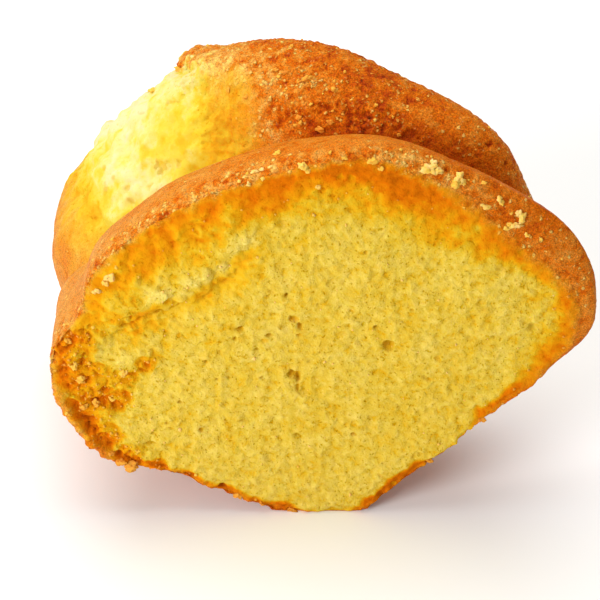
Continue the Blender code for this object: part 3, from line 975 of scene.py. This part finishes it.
def fleck_group(name):
    """Makes the group that scatters grains: how much of each point a grain covers."""
    tree, given, result = new_group(name, ("Size", "Share"), ("Cover",))
    place = object_place(tree)
    rate = maths(tree, "DIVIDE", 1.0, given["Size"])
    stir = put(tree, "ShaderNodeTexNoise", Vector=place, Scale=maths(tree, "MULTIPLY", rate, 1.6))
    reach = maths(tree, "MULTIPLY", given["Size"], 0.9)
    shift = put(tree, "ShaderNodeVectorMath", operation="SCALE", Scale=reach)
    tree.links.new(stir.outputs["Color"], shift.inputs[0])
    moved = put(tree, "ShaderNodeVectorMath", operation="ADD")
    tree.links.new(place, moved.inputs[0])
    tree.links.new(shift.outputs[0], moved.inputs[1])
    scatter = put(tree, "ShaderNodeTexVoronoi", Vector=moved.outputs[0], Scale=rate)
    chance = put(tree, "ShaderNodeSeparateColor", Color=scatter.outputs["Color"])
    chosen = maths(tree, "LESS_THAN", chance.outputs[0], given["Share"])
    near = softened(tree, scatter.outputs["Distance"], 0.5, 0.25)
    tree.links.new(maths(tree, "MULTIPLY", chosen, near), result["Cover"])
    return tree


def fine_grain(tree, **values):
    """The outputs of the shared grain, placed with these values."""
    return put(
        tree, "ShaderNodeGroup", node_tree=shared_group("fine_grain", grain_group), **values).outputs


def flecks(tree, **values):
    """How much the shared scatter of grains, placed with these values, covers."""
    made = put(tree, "ShaderNodeGroup", node_tree=shared_group("flecks", fleck_group), **values)
    return made.outputs["Cover"]


def soak_light(shader, weight):
    """Lets light soak into the crumb."""
    shader.inputs["Subsurface Weight"].default_value = weight
    shader.inputs["Subsurface Radius"].default_value = (1.0, 0.5, 0.1)
    shader.inputs["Subsurface Scale"].default_value = LIGHT_REACH


def crumb_finish(tree, place, blotches, given):
    """The colour and the fine height of the cut and torn crumb."""
    grain = fine_grain(tree, Size=CRUMB_GRAIN, Pits=0.5)
    grit = flecks(tree, Size=GRIT_SIZE, Share=0.1)
    grainy = maths(tree, "MULTIPLY_ADD", given["smooth"], -0.65, 1.0)
    tone = maths(tree, "MULTIPLY", grain["Tone"], 0.1)
    tone = maths(tree, "MULTIPLY_ADD", grit, -0.06, tone)
    tone = maths(tree, "MULTIPLY", tone, grainy)
    tone = maths(tree, "MULTIPLY_ADD", blotches, 0.2, tone)
    tone = maths(tree, "ADD", tone, given["bake"])
    cut, torn = ramp(tree, tone, CRUMB_STOPS), ramp(tree, tone, TORN_STOPS)
    colour = mixed(tree, given["torn"], cut, torn)
    pores = softened(tree, speckle(tree, place, PORE_SIZE), 0.39, 0.27)
    pores = maths(tree, "MULTIPLY", pores, grainy)
    # painted shade in the small pores, which the bump also sinks
    colour = mixed(tree, pores, colour, PORE_SHADE, "MULTIPLY")
    # the larger pores take a deeper colour: painted shade
    colour = mixed(tree, maths(tree, "MULTIPLY", given["pit"], 0.8), colour, PIT_COLOUR)
    height = maths(tree, "MULTIPLY_ADD", pores, -0.6, grain["Height"])
    return colour, maths(tree, "MULTIPLY", height, maths(tree, "MULTIPLY", grainy, 0.7))


def crust_finish(tree, place, blotches, given):
    """The colour and the fine height of the crust, grainier where it is coarse."""
    coarse = given["coarse"]
    grain = fine_grain(tree, Size=CRUST_GRAIN, Pits=0.4)
    tone = maths(tree, "MULTIPLY", grain["Tone"], maths(tree, "MULTIPLY_ADD", coarse, 0.18, 0.14))
    tone = maths(tree, "MULTIPLY_ADD", blotches, maths(tree, "MULTIPLY_ADD", coarse, 0.25, 0.2), tone)
    clusters = softened(tree, speckle(tree, place, CLUSTER_SIZE, 1.0), 0.4, 0.62)
    share = maths(tree, "MULTIPLY", clusters, maths(tree, "MULTIPLY_ADD", coarse, 0.55, 0.08))
    pale = flecks(tree, Size=FLECK_SIZE, Share=share)
    tone = maths(tree, "MULTIPLY_ADD", pale, -0.38, tone)
    colour = ramp(tree, maths(tree, "ADD", tone, given["bake"]), CRUST_STOPS)
    # bright grains scattered over the crust, also painted glints
    grains_and_glints = flecks(tree, Size=SPECK_SIZE, Share=maths(tree, "MULTIPLY_ADD", coarse, 0.06, 0.01))
    colour = mixed(tree, maths(tree, "MULTIPLY", grains_and_glints, 0.25), colour, GRAIN_AND_GLINT_COLOUR)
    powder = maths(tree, "SUBTRACT", speckle(tree, place, POWDER_SIZE, 1.0), 0.5)
    powder = maths(tree, "MULTIPLY_ADD", powder, 1.7, 1.0)
    colour = mixed(tree, 1.0, colour, powder, "MULTIPLY")
    return colour, maths(tree, "MULTIPLY_ADD", pale, 0.8, grain["Height"])


def cake_material():
    material, tree, shader = new_material("crumb_and_crust")
    place = object_place(tree)
    given = {
        name: put(tree, "ShaderNodeAttribute", attribute_name=name).outputs["Fac"]
        for name in ("bake", "crust", "pit", "coarse", "torn", "smooth")
    }
    blotches = maths(tree, "SUBTRACT", speckle(tree, place, BLOTCH_SIZE), 0.5)
    crumb_colour, crumb_height = crumb_finish(tree, place, blotches, given)
    crust_colour, crust_height = crust_finish(tree, place, blotches, given)
    crust = given["crust"]
    feed(tree, shader.inputs["Base Color"], mixed(tree, crust, crumb_colour, crust_colour))
    feed(tree, shader.inputs["Roughness"], 0.5)
    feed(tree, shader.inputs["Specular IOR Level"], maths(tree, "MULTIPLY", crust, 0.05))
    height = mixed_values(tree, crust, crumb_height, crust_height)
    bump = put(tree, "ShaderNodeBump", Height=height, Distance=BUMP_DEPTH, Strength=1.0)
    feed(tree, shader.inputs["Normal"], bump.outputs[0])
    soak_light(shader, 0.3)
    return material


def crumbs_material():
    material, tree, shader = new_material("loose_crumb")
    bake = put(tree, "ShaderNodeAttribute", attribute_name="bake").outputs["Fac"]
    grain = fine_grain(tree, Size=LOOSE_GRAIN, Pits=0.0)
    tone = maths(tree, "MULTIPLY_ADD", grain["Tone"], 0.14, bake)
    feed(tree, shader.inputs["Base Color"], ramp(tree, tone, LOOSE_STOPS))
    bump = put(tree, "ShaderNodeBump", Height=grain["Height"], Distance=LOOSE_BUMP_DEPTH, Strength=0.8)
    feed(tree, shader.inputs["Normal"], bump.outputs[0])
    feed(tree, shader.inputs["Roughness"], 0.6)
    feed(tree, shader.inputs["Specular IOR Level"], 0.2)
    soak_light(shader, 0.25)
    return material


def floor_material(colour):
    material, tree, shader = new_material("pale_floor")
    feed(tree, shader.inputs["Base Color"], (*colour, 1.0))
    feed(tree, shader.inputs["Roughness"], 0.9)
    feed(tree, shader.inputs["Specular IOR Level"], 0.1)
    return material


# ---------------------------------------------------------------------------------------------
# Stage

FLOOR_HALF = 3.0
LIGHT_AIM = (0.0, 0.0, 0.03)
KEY_PLACE, KEY_SIZE = (-0.05, 0.1, 0.45), 0.5
FILL_PLACE, FILL_SIZE = (-0.42, -0.44, 0.28), 0.3


def add_floor(colour):
    ground = bmesh.new()
    bmesh.ops.create_grid(ground, x_segments=1, y_segments=1, size=FLOOR_HALF)
    mesh = bpy.data.meshes.new("floor")
    ground.to_mesh(mesh)
    ground.free()
    mesh.materials.append(floor_material(colour))
    floor = linked("floor", mesh)


def add_light(name, place, power, size):
    """A soft round light that looks at the slice."""
    light = bpy.data.lights.new(name, "AREA")
    light.shape = "DISK"
    light.energy = power
    light.size = size
    lamp = linked(name, light)
    lamp.location = place
    lamp.rotation_euler = (Vector(place) - Vector(LIGHT_AIM)).to_track_quat("Z", "Y").to_euler()


def add_sky(scene, colour, strength):
    world = bpy.data.worlds.new("studio")
    scene.world = world
    world.use_nodes = True
    sky = world.node_tree.nodes["Background"]
    sky.inputs["Color"].default_value = (*colour, 1.0)
    sky.inputs["Strength"].default_value = strength


def add_camera(scene):
    """The camera, at the photo's angle."""
    lens = bpy.data.cameras.new("camera")
    lens.lens = CAMERA_LENS
    lens.sensor_width = CAMERA_SENSOR
    lens.clip_start = 10 * MM
    camera = linked("camera", lens)
    eye, ray = photo_ray((PHOTO_SIZE / 2, PHOTO_SIZE / 2))
    camera.location = eye
    camera.rotation_euler = (-ray).to_track_quat("Z", "Y").to_euler()
    scene.camera = camera


# ---------------------------------------------------------------------------------------------
# Settings, operators and panel


class CakeSettings(bpy.types.PropertyGroup):
    """How pored the crumb is and how grainy the crust."""

    small_pores: IntProperty(
        name="Small pores", description="Pores scattered over the crumb", default=450, min=0
    )
    crust_grain: FloatProperty(
        name="Crust grain", description="Height of the crust's grain", default=0.2 * MM,
        unit="LENGTH", precision=5,
    )
    crumbs: IntProperty(
        name="Crumbs", description="Crumbs scattered over the slice", default=400, min=0
    )


class StageSettings(bpy.types.PropertyGroup):
    """The studio round the slice."""

    key_power: FloatProperty(
        name="Key light", description="Power of the soft light from above", default=1.85,
        unit="POWER",
    )
    fill_power: FloatProperty(
        name="Fill light", description="Power of the light from the left front", default=3.0,
        unit="POWER",
    )
    sky: FloatProperty(name="Sky", description="Strength of the pale surroundings", default=0.41)
    sky_colour: FloatVectorProperty(
        name="Sky colour", description="Colour of the surroundings", subtype="COLOR",
        default=(1.0, 0.99, 0.93), min=0.0, max=1.0,
    )
    floor_colour: FloatVectorProperty(
        name="Floor colour", description="Colour of the floor", subtype="COLOR",
        default=(0.93, 0.93, 0.93), min=0.0, max=1.0,
    )


class MESH_OT_rum_cake_slice(bpy.types.Operator):
    """Makes the slice with its pored crumb, crust and torn patch"""

    bl_idname = "mesh.rum_cake_slice"
    bl_label = "Cake Slice"

    def execute(self, context):
        mesh = make_cake_mesh(context.scene.cake_settings)
        mesh.materials.clear()
        mesh.materials.append(cake_material())
        cake = linked("cake", mesh)
        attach(cake, "root")
        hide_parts(SOLID)
        return {"FINISHED"}


class MESH_OT_rum_cake_crumbs(bpy.types.Operator):
    """Makes the crumbs that cling to the slice"""

    bl_idname = "mesh.rum_cake_crumbs"
    bl_label = "Crumbs"

    def execute(self, context):
        cake = context.scene.objects.get("cake")
        if cake is None:
            raise RuntimeError("the crumbs need the slice: make it first")
        mesh = make_crumbs_mesh(cake.data, context.scene.cake_settings)
        mesh.materials.append(crumbs_material())
        crumbs = linked("crumbs", mesh)
        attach(crumbs, "root")
        return {"FINISHED"}


class OBJECT_OT_rum_cake_stage(bpy.types.Operator):
    """Sets up the pale floor, the soft light and the photo's camera"""

    bl_idname = "object.rum_cake_stage"
    bl_label = "Stage"

    def execute(self, context):
        settings = context.scene.stage_settings
        add_floor(settings.floor_colour)
        add_light("key", KEY_PLACE, settings.key_power, KEY_SIZE)
        add_light("fill", FILL_PLACE, settings.fill_power, FILL_SIZE)
        add_sky(context.scene, settings.sky_colour, settings.sky)
        add_camera(context.scene)
        context.scene.view_settings.view_transform = "Standard"
        return {"FINISHED"}


class VIEW3D_PT_rum_cake(bpy.types.Panel):
    """Lists the slice's parts in the sidebar"""

    bl_label = "Rum Cake"
    bl_idname = "VIEW3D_PT_rum_cake"
    bl_space_type = "VIEW_3D"
    bl_region_type = "UI"
    bl_category = "Rum Cake"

    def draw(self, context):
        for name in ("small_pores", "crust_grain", "crumbs"):
            self.layout.prop(context.scene.cake_settings, name)
        self.layout.operator(MESH_OT_rum_cake_slice.bl_idname)
        self.layout.operator(MESH_OT_rum_cake_crumbs.bl_idname)
        for name in ("key_power", "fill_power", "sky", "sky_colour", "floor_colour"):
            self.layout.prop(context.scene.stage_settings, name)
        self.layout.operator(OBJECT_OT_rum_cake_stage.bl_idname)


CLASSES = (
    CakeSettings, StageSettings, MESH_OT_rum_cake_slice, MESH_OT_rum_cake_crumbs,
    OBJECT_OT_rum_cake_stage, VIEW3D_PT_rum_cake,
)


def register():
    for made in CLASSES:
        bpy.utils.register_class(made)
    bpy.types.Scene.cake_settings = PointerProperty(type=CakeSettings)
    bpy.types.Scene.stage_settings = PointerProperty(type=StageSettings)


def unregister():
    del bpy.types.Scene.stage_settings
    del bpy.types.Scene.cake_settings
    for made in reversed(CLASSES):
        bpy.utils.unregister_class(made)


def main():
    register()
    bpy.ops.mesh.rum_cake_slice()
    bpy.ops.mesh.rum_cake_crumbs()
    bpy.ops.object.rum_cake_stage()


if __name__ == "__main__":
    main()
